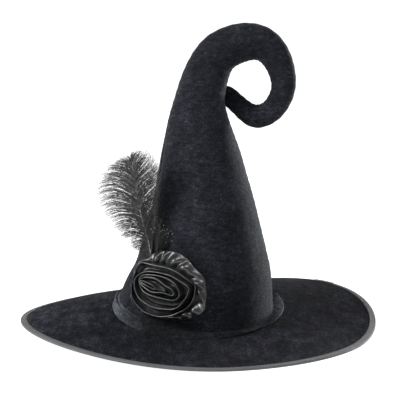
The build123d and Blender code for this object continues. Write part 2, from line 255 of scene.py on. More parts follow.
def velvet(name, dark=(0.0035, 0.0039, 0.0053), light=(0.0142, 0.0154, 0.0198), sheen=0.15,
           gloss=0.08, painted_side_light=(), brushing=(1.0, 1.0, 1.0)):
    """Crushed pile: dark ground, pale at grazing angles, mottled where the pile is brushed.

    Each row of the painted side light (x from, x to, tone) is a painted highlight: the pile gets
    paler by tone along that stretch of X.
    brushing draws the fine speckle out along the axes where it is below 1.
    """
    m = Nodes(name)
    brushed = m.noise(34, 5, 0.62, stretch=(1.0, 1.0, 0.8), distortion=0.4)
    ribs = m.noise(300, 2, 0.6, stretch=(0.45 * brushing[0], 0.45 * brushing[1], 1.0))
    pile = m.noise(700, 3, 0.8, stretch=brushing)
    mixed = m.math("ADD", m.math("MULTIPLY", brushed, 0.26),
                   m.math("ADD", m.math("MULTIPLY", pile, 0.50), m.math("MULTIPLY", ribs, 0.24)))
    # Painted highlight: the pile is made paler along these stretches of X, where the lamps light that
    # side.
    for start, end, tone in painted_side_light:
        split = m.add("ShaderNodeSeparateXYZ")
        m.link(m.place, split.inputs[0])
        side = m.map_range(split.outputs["X"], start, end, 0.0, tone)
        mixed = m.math("ADD", mixed, side)
    # The brightest stops are reached mostly where the painted side highlight is added.
    m.color(m.ramp(mixed, ((0.40, dark), (0.53, light), (0.68, tuple(4.2 * c for c in light)),
                           (0.82, tuple(12.0 * c for c in light)))))
    m.roughness(pile, 0.8, 1.0)
    m.set(Sheen_Weight=sheen, Sheen_Roughness=0.24, Specular_IOR_Level=gloss)
    m.shader.inputs["Sheen Tint"].default_value = (0.86, 0.93, 1.0, 1.0)
    height = m.math("ADD", m.math("MULTIPLY", pile, 0.8), m.math("MULTIPLY", brushed, 2.2))
    m.bump(m.math("ADD", height, m.math("MULTIPLY", ribs, 0.8)), 0.7, 0.0014)
    return m.material


def ribbed_ribbon(name, base, ribs_per_turn, rough=(0.34, 0.5), sheen=0.25, gloss=0.5):
    """Grosgrain: fine ribs across a ribbon that runs round the hat's axis."""
    m = Nodes(name)
    split = m.add("ShaderNodeSeparateXYZ")
    m.link(m.place, split.inputs[0])
    turn = m.math("ARCTAN2", split.outputs["Y"], split.outputs["X"])
    ribs = m.math("SINE", m.math("MULTIPLY", turn, ribs_per_turn))
    fuzz = m.noise(650, 3, 0.6)
    cloudy = m.noise(45, 3, 0.5)
    shade = m.math("ADD", m.math("MULTIPLY", m.math("ADD", ribs, 1.0), 0.16),
                   m.math("ADD", m.math("MULTIPLY", fuzz, 0.4), m.math("MULTIPLY", cloudy, 0.35)))
    m.color(m.ramp(shade, ((0.3, tuple(0.62 * c for c in base)), (0.75, base))))
    m.roughness(cloudy, *rough)
    m.set(Sheen_Weight=sheen, Sheen_Roughness=0.45, Specular_IOR_Level=gloss)
    m.bump(m.math("ADD", ribs, m.math("MULTIPLY", fuzz, 1.2)), 0.35, 0.00025)
    return m.material


def satin(name):
    """Glossy woven ribbon: near black, with long soft highlights and a faint thread line."""
    m = Nodes(name)
    threads = m.noise(1500, 2, 0.5, stretch=(1.0, 0.18, 1.0))
    creases = m.noise(90, 2, 0.5, distortion=0.6)
    m.color(m.ramp(creases, ((0.3, (0.004, 0.0042, 0.0048)), (0.7, (0.0095, 0.010, 0.0115)))))
    m.roughness(m.math("ADD", m.math("MULTIPLY", threads, 0.5), m.math("MULTIPLY", creases, 0.5)),
                0.24, 0.40)
    m.set(Specular_IOR_Level=0.72, IOR=1.55, Sheen_Weight=0.03, Sheen_Roughness=0.3,
          Anisotropic=0.3)
    m.bump(m.math("ADD", m.math("MULTIPLY", threads, 0.05), m.math("MULTIPLY", creases, 1.6)),
           0.2, 0.0008)
    return m.material


def woven(name, base, per_metre=900, rough=(0.6, 0.85), sheen=0.1):
    """Plain cloth with a fine square weave."""
    m = Nodes(name)
    split = m.add("ShaderNodeSeparateXYZ")
    m.link(m.place, split.inputs[0])
    waves = [m.math("SINE", m.math("MULTIPLY", split.outputs[axis], per_metre * CYCLE))
             for axis in ("X", "Y", "Z")]
    weave = m.math("MULTIPLY", m.math("ADD", waves[0], waves[1]), m.math("ADD", waves[2], 1.5))
    slub = m.noise(240, 3, 0.6)
    m.color(m.ramp(m.math("ADD", m.math("MULTIPLY", weave, 0.05), slub),
                   ((0.35, tuple(0.6 * c for c in base)), (0.7, base))))
    m.roughness(slub, *rough)
    m.set(Sheen_Weight=sheen, Sheen_Roughness=0.5)
    m.bump(m.math("ADD", weave, slub), 0.3, 0.0003)
    return m.material


def barb_stuff(name, dark, light, sheen=0.35, foot=None):
    """Ostrich barbs and quill: streaky keratin, with painted shade that darkens the foot of the
    plume.
    """
    m = Nodes(name)
    streak = m.noise(330, 3, 0.7, stretch=(0.5, 1.0, 0.7))
    fine = m.noise(1400, 2, 0.6)
    tone = m.math("ADD", m.math("MULTIPLY", streak, 0.75), m.math("MULTIPLY", fine, 0.25))
    # Painted shade: darker towards the foot of the plume, where it is tucked against the crown and
    # rosette.
    if foot:
        split = m.add("ShaderNodeSeparateXYZ")
        m.link(m.place, split.inputs[0])
        tone = m.math("ADD", tone, m.map_range(split.outputs["Z"], *foot, -0.26, 0.0))
    m.color(m.ramp(tone, ((0.34, dark), (0.62, light))))
    m.roughness(fine, 0.45, 0.75)
    m.set(Sheen_Weight=sheen, Sheen_Roughness=0.5, Specular_IOR_Level=0.4)
    m.bump(fine, 0.2, 0.0001)
    return m.material


def drawn_wire(name):
    """Steel wire with faint drawing marks."""
    m = Nodes(name)
    lines = m.noise(600, 3, 0.6)
    m.color(m.ramp(lines, ((0.3, (0.32, 0.32, 0.33)), (0.7, (0.52, 0.52, 0.53)))))
    m.set(Metallic=1.0)
    m.roughness(lines, 0.25, 0.45)
    m.bump(lines, 0.15, 0.0001)
    return m.material


VELVET = velvet("crushed_velvet")
# Brim velvet with a painted highlight: paler towards its left side, where the key lamp lights it.
BRIM_VELVET = velvet("brim_velvet", (0.0036, 0.0038, 0.0052), (0.0128, 0.0134, 0.0170), 0.004,
                     gloss=0.03, painted_side_light=((-0.06, -0.20, 0.055),), brushing=(1.0, 0.3, 1.0))
# Flange velvet with painted highlights: paler on its left and right sides, where the key and rim
# lamps light it.
FLANGE_VELVET = velvet("flange_velvet_painted_highlight", (0.0028, 0.0032, 0.0040), (0.0104, 0.0117, 0.0128), 0.09,
                       painted_side_light=((-0.062, -0.106, 0.30), (0.085, 0.112, 0.42)))
BINDING = ribbed_ribbon("binding_grosgrain", (0.122, 0.127, 0.127), 1500,
                        (0.6, 0.8), 0.04, gloss=0.2)
SATIN = satin("black_satin")
LINING = woven("lining_taffeta", (0.018, 0.018, 0.021))
BUCKRAM = woven("buckram", (0.03, 0.03, 0.032), 420)
SWEATBAND = ribbed_ribbon("sweatband_grosgrain", (0.03, 0.03, 0.033), 900, (0.55, 0.75), 0.1)
THREAD = woven("polyester_thread", (0.02, 0.02, 0.022), 2400, (0.4, 0.6))
FELT = velvet("backing_felt", (0.010, 0.010, 0.011), (0.022, 0.022, 0.024), 0.08)
WADDING = velvet("wadding", (0.55, 0.55, 0.53), (0.72, 0.72, 0.70), 0.2)
# The barb tones carry painted shade at the plume's foot, darkest at 0.10 m up and gone by 0.18 m.
PLUME_TONES = [
    barb_stuff(name, tuple(0.06 * c for c in light), light, 0.12, foot=(0.10, 0.18))
    for name, light in (("barbs_dark", (0.026, 0.028, 0.029)), ("barbs", (0.10, 0.104, 0.102)),
                        ("barbs_pale", (0.24, 0.24, 0.225)))
]
PLUME = PLUME_TONES[1]
# Quill horn: dark horn with a streaky tone, its palest streaks painted glints.
QUILL_HORN = barb_stuff("quill_horn", (0.03, 0.028, 0.022), (0.34, 0.31, 0.26), 0.05)
WIRE = drawn_wire("drawn_steel")


def dress(obj, material):
    """Leave the object with this one material."""
    obj.data.materials.clear()
    obj.data.materials.append(material)


# ==== brim ===================================================================================
def lift(azimuth):
    """How far the rim rises above its lowest line."""
    total = np.zeros_like(azimuth)
    for middle, half, height in RIM_LIFTS:
        away = (np.degrees(azimuth) - middle + 180) % 360 - 180
        near = np.abs(away) < half
        total += np.where(near, height * np.cos(np.radians(90 * away / half)) ** 2, 0)
    return total


def brim_middle(azimuth, across):
    """Middle surface of the brim: across is 0 at the flange's edge, 1 at the cut edge."""
    a0 = np.stack([FLANGE[0] * np.cos(azimuth), FLANGE[1] * np.sin(azimuth)], -1)
    a1 = BRIM_RADIUS * np.stack([np.cos(azimuth), np.sin(azimuth)], -1)
    inner = FLANGE_HEIGHT - SEAT_DROP + FLANGE_SLOPE * a0[..., 1]
    outer = RIM_REST + lift(azimuth)
    plan = a0 + (a1 - a0) * across[..., None]
    fall = np.clip(1 - across, 0, None) ** BRIM_DISH
    return np.concatenate([plan, (outer + (inner - outer) * fall)[..., None]], -1)


def edge_line(azimuth, outward):
    """Middle surface measured outward from the cut edge, level beyond it."""
    reach = brim_middle(azimuth, np.ones_like(azimuth)) - brim_middle(azimuth, 0 * azimuth)
    across = 1 + np.minimum(outward, 0) / np.hypot(reach[..., 0], reach[..., 1])
    point = brim_middle(azimuth, across)
    grow = np.maximum(outward, 0)
    point[..., 0] += grow * np.cos(azimuth)
    point[..., 1] += grow * np.sin(azimuth)
    return point


def brim_cover(name, height, flip):
    """One face of the brim: a smooth dished sheet from the head opening to the cut edge."""
    turns, steps = 360, 64
    azimuth = np.linspace(0, 2 * np.pi, turns, endpoint=False)
    rows = []
    inner = np.stack([OPENING[0] * np.cos(azimuth), OPENING[1] * np.sin(azimuth),
                      FLANGE_HEIGHT - OPENING_DROP + FLANGE_SLOPE * OPENING[1] * np.sin(azimuth)], -1)
    start = brim_middle(azimuth, 0 * azimuth)
    for share in (0.0, 0.25, 0.5, 0.75):
        rows.append(inner + (start - inner) * share)
    for across in np.linspace(0, 1, steps):
        rows.append(brim_middle(azimuth, np.full_like(azimuth, across)))
    grid = np.array(rows)
    swell = 0.45 * bumps(grid, 38, 3.0) + 0.16 * bumps(grid, 11, 9.0)
    fade = np.clip((BRIM_RADIUS - np.hypot(grid[..., 0], grid[..., 1])) / 12, 0, 1)
    rim = 1 - 0.32 * np.clip((np.hypot(grid[..., 0], grid[..., 1]) - BRIM_RADIUS + 6) / 6, 0, 1)
    grid[..., 2] += height * rim + 0.5 * np.sign(height) * (swell * fade)
    piece = grid_object(name, grid, close_columns=True, flip=flip)
    thicken(piece, VELVET_THICK)
    dress(piece, BRIM_VELVET)
    return piece


def ribbon_share(azimuth):
    """The ribbon is turned over a little less at the front."""
    return 1 - 0.34 * np.exp(-((np.degrees(azimuth) - 264) / 45) ** 2)


def brim_binding():
    """Ribbon folded over the brim's edge, a little uneven where it is stitched."""
    turns = 900
    azimuth = np.linspace(0, 2 * np.pi, turns, endpoint=False)
    nose = RIM_RADIUS - BRIM_RADIUS
    back = nose - BINDING_WIDTH
    round_from, round_reach, half_height = 0.35, 0.9, 1.4
    top = [(back + (nose - round_reach - back) * t,
            1.90 - 0.50 * t + 0.10 * math.sin(math.pi * t)) for t in np.linspace(0, 1, 9)]
    turn = [(nose - round_reach + round_reach * math.sin(a), half_height * math.cos(a))
            for a in np.linspace(round_from, math.pi - round_from, 9)]
    section = top + turn + [(o, -h) for o, h in reversed(top)]
    rows = []
    for number, (outward, height) in enumerate(section):
        edge = abs(number - (len(section) - 1) / 2) / ((len(section) - 1) / 2)
        wander = np.array([noise.noise(Vector((8 * math.cos(a), 8 * math.sin(a), 5.0)))
                           for a in azimuth])
        pucker = 0.06 * np.sin(azimuth * 300) * edge
        line = edge_line(azimuth, outward * ribbon_share(azimuth) + 0.35 * wander * (edge > 0.9))
        line[..., 2] += height + np.sign(height) * (pucker + 0.05 * wander)
        rows.append(line)
    piece = grid_object("brim_binding_ribbon", np.array(rows), close_columns=True, flip=True)
    thicken(piece, BINDING_THICK)
    dress(piece, BINDING)
    return piece


def binding_stitches():
    """Row of small machine stitches near the ribbon's inner edge, on the brim's upper face."""
    count, length, radius = 520, 1.7, 0.13
    sides, rings = 5, (-1.0, -0.6, 0.0, 0.6, 1.0)
    points, faces = [], []
    for number in range(count):
        middle = 2 * math.pi * number / count
        half = length / 2 / BRIM_RADIUS
        for share in rings:
            azimuth = np.array((middle + half * share) % (2 * math.pi))
            inset = (RIM_RADIUS - BRIM_RADIUS - BINDING_WIDTH) * ribbon_share(azimuth) + 1.1
            centre = edge_line(azimuth, inset)
            centre = centre + (0, 0, 2.02 + 0.10 * (1 - share * share))
            size = radius * (0.35 if abs(share) == 1 else 1.0)
            out = np.array((math.cos(azimuth), math.sin(azimuth), 0))
            for c in range(sides):
                a = 2 * math.pi * c / sides
                points.append(centre + size * (out * math.cos(a) + np.array((0, 0, 1)) * math.sin(a)))
        base = number * len(rings) * sides
        faces += (grid_faces(len(rings), sides, close_columns=True) + base).tolist()
        faces.append([base + c for c in range(sides)][::-1])
        faces.append([base + (len(rings) - 1) * sides + c for c in range(sides)])
    piece = mesh_object("binding_stitches", points, faces)
    dress(piece, THREAD)
    return piece


# ==== crown ==================================================================================
def crown_rows(count):
    """Smooth sections up the crown: centre x, y, z, lean, half-width, half-depth, pitch, seam."""
    table = []
    for index, (x, z, lean, half_width, half_depth) in enumerate(STATIONS):
        back = 0.0
        if index > TIP_FROM:
            back = TIP_BACK * min(1.0, 1.25 * (index - TIP_FROM) / (len(STATIONS) - 1 - TIP_FROM))
        pitch = FLANGE_SLOPE * max(0.0, 1 - index / PITCHED)
        seam = 180 + SEAM_FORWARD * min(1.0, max(0, SEAM_LEVEL - index) / 5)
        table.append((x, back, z, lean, half_width, half_depth, pitch, seam))
    return even_path(table, count)


def crown_grid(rows, first, last, columns):
    """Crown surface between two angles, each given in degrees for every row."""
    lean = np.radians(rows[:, 3])
    right = np.stack([np.cos(lean), 0 * lean, -np.sin(lean)], -1)
    depth = unit(np.stack([0 * lean, 1 + 0 * lean, rows[:, 6]], -1))
    share = np.linspace(0, 1, columns)
    angle = np.radians(first[:, None] + (last - first)[:, None] * share)
    wide = rows[:, 4, None] * np.cos(angle)
    deep = rows[:, 5, None] * np.sin(angle)
    return rows[:, None, :3] + right[:, None] * wide[..., None] + depth[:, None] * deep[..., None]


def crown_panel(name, rows, first, last, columns):
    """Velvet panel with a dent and puckers along its seams, and soft swells above its foot."""
    grid = crown_grid(rows, first, last, columns)
    middle = rows[:, None, :3]
    out = unit(grid - middle)
    girth = np.cumsum(np.linalg.norm(np.diff(grid, axis=1), axis=2), axis=1)
    girth = np.concatenate([np.zeros((len(grid), 1)), girth], axis=1)
    to_seam = np.minimum(girth, girth[:, -1:] - girth)
    climb = np.concatenate([[0], np.cumsum(np.linalg.norm(np.diff(rows[:, :3], axis=0), axis=1))])
    seam = -1.1 * np.exp(-(to_seam / 1.5) ** 2)
    pucker = 0.22 * np.exp(-(to_seam / 5.0) ** 2) * np.sin(climb / 1.6)[:, None]
    thin = np.clip(rows[:, 4] / 60, 0.25, 1)[:, None]
    foot = np.clip((grid[..., 2] - FOOT_TOP) / FOOT_FADE, FOOT_SWELL, 1)
    swell = (0.9 * bumps(grid, 55, 1.0) + 0.35 * bumps(grid, 17, 6.0)) * thin * foot
    grid = grid + out * (seam + pucker + swell - 0.25)[..., None]
    piece = grid_object(name, grid, flip=True)
    thicken(piece, CROWN_THICK)
    dress(piece, VELVET)
    return piece


def curl_end(rows):
    """Small rounded cap that closes the curl's tip."""
    last = rows[-1]
    steps, columns = 7, 40
    lean = math.radians(last[3])
    right = np.array((math.cos(lean), 0, -math.sin(lean)))
    ahead = np.array((math.sin(lean), 0, math.cos(lean)))
    depth = np.array((0.0, 1.0, 0.0))
    grid = []
    for k in range(steps):
        a = math.pi / 2 * k / (steps - 1)
        for c in range(columns):
            turn = 2 * math.pi * c / columns
            rim = right * last[4] * math.cos(turn) + depth * last[5] * math.sin(turn)
            grid.append(last[:3] + rim * max(math.cos(a), 0.02) + ahead * 2.6 * math.sin(a))
    grid = np.array(grid).reshape(steps, columns, 3)
    piece = grid_object("crown_tip_cap", grid, close_columns=True, flip=True)
    thicken(piece, VELVET_THICK)
    dress(piece, VELVET)
    return piece


def crown_flange(rows):
    """Velvet flange: down the crown's foot, through a shallow valley and up to a rolled lip."""
    turns, steps = 420, 64
    zero, full = np.zeros(len(rows)), np.full(len(rows), 360.0)
    wall = crown_grid(rows, zero, full, turns + 1)[:, :-1]
    azimuth = np.linspace(0, 2 * np.pi, turns, endpoint=False)
    out = unit(np.stack([np.cos(azimuth), np.sin(azimuth), 0 * azimuth], -1))
    up = np.array((0, 0, 1.0))
    left = np.exp(-((np.degrees(azimuth) - 196) / 34) ** 2)[:, None]
    front = np.exp(-((np.degrees(azimuth) - 260) / 46) ** 4)[:, None]

    def lip(grow, rise):
        return np.stack([(FLANGE[0] + grow) * np.cos(azimuth), (FLANGE[1] + grow) * np.sin(azimuth),
                         FLANGE_HEIGHT + rise + FLANGE_SLOPE * FLANGE[1] * np.sin(azimuth)],
                        -1) + up * (3.2 * left - 1.6 * front)

    outer = lip(-1.2, -0.2)
    base = wall[0] + out * 1.6 + up * 1.4
    drop = np.clip((base[:, 2] - outer[:, 2]) / 6, 0, 1)[:, None]
    coarse = [wall[10] - out * 1.6, wall[6] - out * 0.2, wall[3] + out * 1.0, base]
    for t, mound in ((0.25, 2.2), (0.5, 3.6), (0.75, 3.4)):
        straight = base + (outer - base) * t
        sag = math.sin(math.pi * t)
        coarse.append(straight + up * (sag * (2.4 * drop - 1.8 * (1 - drop)) + mound * left))
    coarse.append(outer)
    for grow, rise, droop in ((-0.5, 0.15, 0.6), (0.15, 0.0, 1.4), (0.4, -0.6, 2.2),
                              (0.1, -1.2, 2.8), (-0.8, -1.5, 3.2)):
        coarse.append(lip(grow, rise) - up * droop * left)
    coarse = np.array(coarse)
    grid = np.stack([smooth_table(coarse[:, c], steps) for c in range(turns)], axis=1)
    free = np.clip(np.linspace(-1.5, 4, steps), 0, 1)[:, None]
    crush = 0.7 * bumps(grid, 14, 2.0) + 0.3 * bumps(grid, 5, 4.0)
    grid[..., 2] += crush * free
    piece = grid_object("crown_flange_velvet", grid, close_columns=True, flip=True)
    thicken(piece, VELVET_THICK)
    dress(piece, FLANGE_VELVET)
    return piece


brim_top = brim_cover("brim_top_velvet", COVER_HEIGHT, True)
brim_under = brim_cover("brim_underside_velvet", -COVER_HEIGHT, False)
binding = brim_binding()
stitches = binding_stitches()
ROWS = crown_rows(CROWN_ROWS)
flange = crown_flange(ROWS)
front = crown_panel("crown_front_velvet", ROWS, ROWS[:, 7], np.full(CROWN_ROWS, 360.0),
                    PANEL_COLUMNS)
back = crown_panel("crown_back_velvet", ROWS, np.zeros(CROWN_ROWS), ROWS[:, 7], PANEL_COLUMNS)
tip = curl_end(ROWS)

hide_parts("brim_top_cover")
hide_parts("brim_underside_cover")
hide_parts("brim_binding")
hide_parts("crown_flange")
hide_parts("crown_front_panel")
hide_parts("crown_back_panel")


# ==== rosette ================================================================================
# Crests of the folded ribbon as (right, up, out) of the rosette's own centre; each closed line
# starts at its left end and runs over the top.
BUD_CREST = ((-30.5, 1.5, 25), (-22.5, 0.5, 27), (-16, -1, 28), (-11.5, -4, 27.5),
             (-11, -6, 27), (-14.5, -5.5, 27), (-18.5, -4, 27), (-25.5, -1.5, 26))
TURN_CRESTS = (
    ((-32, 2.5, 24), (-26.5, 5.5, 26), (-15.5, 6, 26.5), (-6.5, 3.5, 26.5), (1.5, -1, 26),
     (8.5, -4, 25.5), (12, -8, 24), (11.5, -10.5, 23), (7.5, -11, 23.5), (0, -9, 25),
     (-7.5, -9, 25.5), (-16, -8.5, 25.5), (-25.5, -4.5, 25), (-31, -1, 24)),
    ((-34.5, 3, 22), (-30.5, 8, 23), (-17, 9.5, 24), (-2.5, 8, 24), (8, 4.5, 24),
     (14, 0.5, 23.5), (18, -6.5, 22.5), (18, -12.5, 22), (12.5, -16, 22), (0, -15.5, 22.5),
     (-17, -13, 22.5), (-27, -9.5, 22), (-32, -4, 21.5)),
    ((-41, 5, 18.5), (-35.5, 9.5, 20), (-27.5, 12.5, 21), (-15.5, 13.5, 22),
     (-4.5, 12.5, 22), (6, 10.5, 22), (15.5, 6.5, 21.5), (24, 3, 20.5), (28.5, -1, 19.5),
     (27, -8.5, 18.5), (23, -15.5, 18), (18.5, -21.5, 17.5), (10.5, -26, 17),
     (-0.5, -27, 17.5), (-13, -26.5, 18), (-24, -23, 18), (-33.5, -18, 17.5),
     (-40, -9, 17.5), (-42, -1, 18)),
    ((-47.5, 6, 12.5), (-46, 11.5, 13), (-44.5, 16, 14), (-40, 21.5, 15), (-34.5, 23, 16),
     (-25.5, 21.5, 17), (-11.5, 20.5, 17.5), (2.5, 18.5, 17.5), (13.5, 14.5, 17),
     (26.5, 8, 15), (32.5, 4.5, 12.5), (32, -3, 10), (30.5, -12, 9.5), (26, -21, 10.5),
     (18, -27.5, 12), (10.5, -32, 12.5), (2.5, -34.5, 12.5), (-10.5, -36, 12.5),
     (-25, -33.5, 12.5), (-37, -27, 12.5), (-44, -20, 12.5), (-48, -9, 12.5)),
)
RUFFLE_EDGE = (
    (-51.5, -2, 6.5), (-50.5, 5, 7), (-50, 14, 7), (-45, 24.5, 7), (-33.5, 32, 8),
    (-22, 37.5, 8.5), (-10, 39, 9), (1.5, 39, 9), (14, 34, 9), (24, 27, 9), (33, 19.5, 8.5),
    (40, 13, 8), (43.5, 4.5, 8), (45.5, -3.5, 8), (46, -10, 7.5), (46, -19, 7), (43, -26, 7),
    (32.5, -32, 6), (16, -36.5, 6), (-1, -37.5, 5.5), (-15.5, -37, 5.5), (-31.5, -34, 5.5),
    (-43.5, -28, 5.5), (-50, -16.5, 6),
)
RIBBON = 0.3
AROUND = 420


def rosette_frame():
    """Right, up and outward directions of the rosette's face."""
    yaw, pitch = ROSETTE_YAW, ROSETTE_PITCH
    out = np.array((-math.sin(yaw) * math.cos(pitch), -math.cos(yaw) * math.cos(pitch),
                    math.sin(pitch)))
    right = np.array((math.cos(yaw), -math.sin(yaw), 0.0))
    return right, np.cross(out, right), out


def closed_curve(points, count):
    """Smooth closed line through the points, each half spaced evenly from left end to right."""
    wrapped = list(points[-3:]) + list(points) + list(points[:3])
    fine = smooth_table(wrapped, 60 * (len(wrapped) - 1) + 1)
    loop = fine[180:180 + 60 * len(points) + 1]
    far = int(np.argmax(loop[:, 0]))
    halves = []
    for part in (loop[:far + 1], loop[far:]):
        length = np.concatenate(([0], np.cumsum(np.linalg.norm(np.diff(part, axis=0), axis=1))))
        at = np.linspace(0, length[-1], count // 2 + 1)[:-1]
        halves.append(np.stack([np.interp(at, length, part[:, k]) for k in range(3)], -1))
    return np.concatenate(halves)


def place_rosette(grid):
    """Points given in the rosette's own frame, placed on the hat."""
    right, up, out = rosette_frame()
    return ROSETTE_AT + grid @ np.stack([right, up, out])


def creases(grid, size, seed):
    """Soft creases that run from crest to crest."""
    stretched = grid * (1 / size, 1 / size, 1 / (4 * size))
    return bumps(stretched, 1.0, seed)


def fold_strip(crest, inner, outer, dip_in, dip_out, seed, steps=16):
    """One turn of ribbon: up the inside to its folded crest, over it and down the outside."""
    rows = []
    for k in range(steps):
        x = k / (steps - 1)
        row = inner + (crest - inner) * x
        floor = np.minimum(inner[:, 2], crest[:, 2]) - dip_in
        row[:, 2] = floor + (crest[:, 2] - floor) * x ** 2.2
        rows.append(row)
    for k in range(1, 5):
        a = math.pi * k / 5
        away = unit((outer - crest) * (1, 1, 0))
        rows.append(crest + away * 0.55 * (1 - math.cos(a)) + (0, 0, 0.55 * math.sin(a)))
    start = rows[-1]
    for k in range(1, steps):
        x = k / (steps - 1)
        row = start + (outer - start) * x
        floor = np.minimum(outer[:, 2], start[:, 2]) - dip_out
        row[:, 2] = floor + (start[:, 2] - floor) * (1 - x) ** 2.3
        rows.append(row)
    grid = np.array(rows)
    share = np.linspace(-1, 1, len(rows))[:, None]
    broad = np.linalg.norm((outer - inner)[:, :2], axis=1)
    grid[..., 2] += creases(grid, 9.0, seed) * (0.01 + 0.05 * np.abs(share)) * broad
    grid[..., :2] += 0.5 * np.stack([creases(grid, 16.0, seed + 3),
                                     creases(grid, 16.0, seed + 8)], -1)
    return grid


def bud_strip(crest):
    """Innermost roll: a tight fold with a dark slit along its middle."""
    middle = crest.copy()
    middle[:, 1] = crest[:, 1] * 0.35 + (-1.0 - 0.21 * (crest[:, 0] + 20)) * 0.65
    return middle


def rosette_piece(name, grids, flats, node):
    """Strips of folded ribbon; the first of them stands for the node."""
    for number, (grid, flat) in enumerate(zip(grids, flats)):
        piece = grid_object(name if number == 0 else f"{name}_{number + 1}", place_rosette(grid),
                            close_columns=True, flip=True)
        thicken(piece, RIBBON)
        dress(piece, SATIN)
        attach(piece, "root")
        if number == 0:
            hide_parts(node)


def between(a, b, share):
    """Line part of the way from one line to another."""
    return a + (b - a) * share


def ruffle_grid(inner, edge):
    """Gathered ribbon from under the last turn out to its folded edge and back beneath."""
    count = len(edge)
    turn = np.linspace(0, 1, count, endpoint=False)
    wander = np.array([noise.noise(Vector((1.6 * math.cos(2 * math.pi * t),
                                           1.6 * math.sin(2 * math.pi * t), 2))) for t in turn])
    phase = 2 * math.pi * (15 * turn + 0.9 * wander)
    ridge = 1 - 2 * np.abs(np.cos(phase / 2)) ** 2.6
    rows = []
    steps = 26
    for k in range(steps):
        x = k / (steps - 1)
        row = inner + (edge - inner) * x
        start = inner[:, 2] - 5.5
        dome = 3.6 * math.sin(math.pi * x ** 0.85) + 1.2 * x
        row[:, 2] = start + (edge[:, 2] - start) * x + dome
        fade = math.sin(math.pi * min(1.0, 0.15 + 0.8 * x))
        row[:, 2] += 2.4 * ridge * fade
        rows.append(row)
    away = unit((edge - inner) * (1, 1, 0))
    for k in range(1, 6):
        a = math.pi * k / 5
        rows.append(rows[steps - 1] + away * 0.9 * math.sin(a) - (0, 0, 0.8 * (1 - math.cos(a))))
    last = rows[-1]
    for x in (0.12, 0.25):
        rows.append(last + (inner - edge) * (1, 1, 0) * x)
    grid = np.array(rows)
    grid[..., 2] += 0.35 * creases(grid, 12.0, 40.0)
    grid[..., :2] += 0.7 * np.stack([creases(grid, 11.0, 21.0), creases(grid, 11.0, 33.0)], -1)
    return grid


def rosette():
    """Bud, turns and gathered ruffle, each folded up from the line of its crest."""
    bud = closed_curve(BUD_CREST, AROUND)
    turns = [closed_curve(crest, AROUND) for crest in TURN_CRESTS]
    edge = closed_curve(RUFFLE_EDGE, AROUND)
    core = fold_strip(bud, bud_strip(bud), between(bud, turns[0], 0.5), 4.5, 5.0, 1.0)
    strips = []
    lines = [bud] + turns + [edge]
    for number in range(1, 5):
        before, here, after = lines[number - 1], lines[number], lines[number + 1]
        inside = (6.5, 8.0, 9.0, 8.0)[number - 1]
        outside = (7.5, 9.0, 9.0, 6.5)[number - 1]
        strips.append(fold_strip(here, between(before, here, 0.42), between(here, after, 0.58),
                                 inside, outside, 5.0 * number))
    rosette_piece("rosette_bud_ribbon", [core, strips[0]],
                  [(0.014, 0.052), (0.020, 0.100)], "rosette_bud")
    rosette_piece("rosette_turn_ribbon", strips[1:3],
                  [(0.025, 0.125), (0.028, 0.170)], "rosette_middle_turns")
    rosette_piece("rosette_ruffle_ribbon",
                  [strips[3], ruffle_grid(between(lines[4], edge, 0.2), edge)],
                  [(0.027, 0.205), (0.020, 0.300)],
                  "rosette_outer_ruffle")


# ==== plume ==================================================================================
# Tips of the barbs as (x, z) from the base of the plume to its top.
LEFT_TIPS = ((-66, 98), (-74, 102), (-82, 108), (-91, 117), (-103, 129), (-114, 144),
             (-121, 160), (-122, 177), (-112, 196), (-98, 209), (-84, 216))
RIGHT_TIPS = ((-50, 142), (-47, 163), (-45, 181), (-44, 194), (-44, 204), (-46, 212),
              (-51, 218), (-58, 222), (-67, 223), (-77, 219))
TUFT_TIPS = ((-55, 132), (-50, 143), (-45, 150), (-41, 147), (-38, 138), (-35, 136),
             (-31, 133), (-29, 127), (-28, 121), (-28, 116))
TUFT_BARBS = 90
BARB_POINTS = 15
CLUMP = 7
PLUME_YAW = math.radians(27)
PLUME_AT = np.array((-66.0, -52.0))


def plume_depth(x):
    """How far back the plume's own plane stands at this x."""
    return PLUME_AT[1] - math.tan(PLUME_YAW) * (np.asarray(x) - PLUME_AT[0])


STRAND_CORNERS = (0.0, 2.094, 4.189)  # angles of a strand's three edges


class Strands:
    """Many thin tapering strands gathered into one mesh."""

    def __init__(self):
        self.points, self.faces, self.tones = [], [], []

    def add(self, path, thick, taper=0.25):
        """A three-sided strand along the path."""
        rows = len(path)
        ahead = unit(np.gradient(path, axis=0))
        side = unit(np.cross(ahead, (0.31, 0.85, 0.42)))
        other = np.cross(ahead, side)
        size = thick * (1 - (1 - taper) * np.linspace(0, 1, rows) ** 1.5)[:, None]
        base = len(self.points)
        for turn in STRAND_CORNERS:
            ring = path + size * (side * math.cos(turn) + other * math.sin(turn))
            self.points.extend(ring.tolist())
        for c in range(len(STRAND_CORNERS)):
            d = (c + 1) % len(STRAND_CORNERS)
            for r in range(rows - 1):
                self.faces.append((base + c * rows + r, base + c * rows + r + 1,
                                   base + d * rows + r + 1, base + d * rows + r))

    def finish(self, tone):
        """Give everything added since the last call one of the tones."""
        self.tones.extend([tone] * (len(self.faces) - len(self.tones)))

    def piece(self, name, materials):
        """One object from all the strands, each face in its tone's material."""
        obj = mesh_object(name, self.points, self.faces)
        for material in materials:
            obj.data.materials.append(material)
        obj.data.polygons.foreach_set("material_index", self.tones)
        return obj

    def needle(self, start, end, width):
        """A barbule: one narrow triangle."""
        base = len(self.points)
        self.points.extend((start - width, start + width, end))
        self.faces.append((base, base + 1, base + 2))


def bezier(a, b, c, d, count):
    """Points along a cubic curve from a to d."""
    t = np.linspace(0, 1, count)[:, None]
    u = 1 - t
    return a * u ** 3 + 3 * b * u ** 2 * t + 3 * c * u * t ** 2 + d * t ** 3


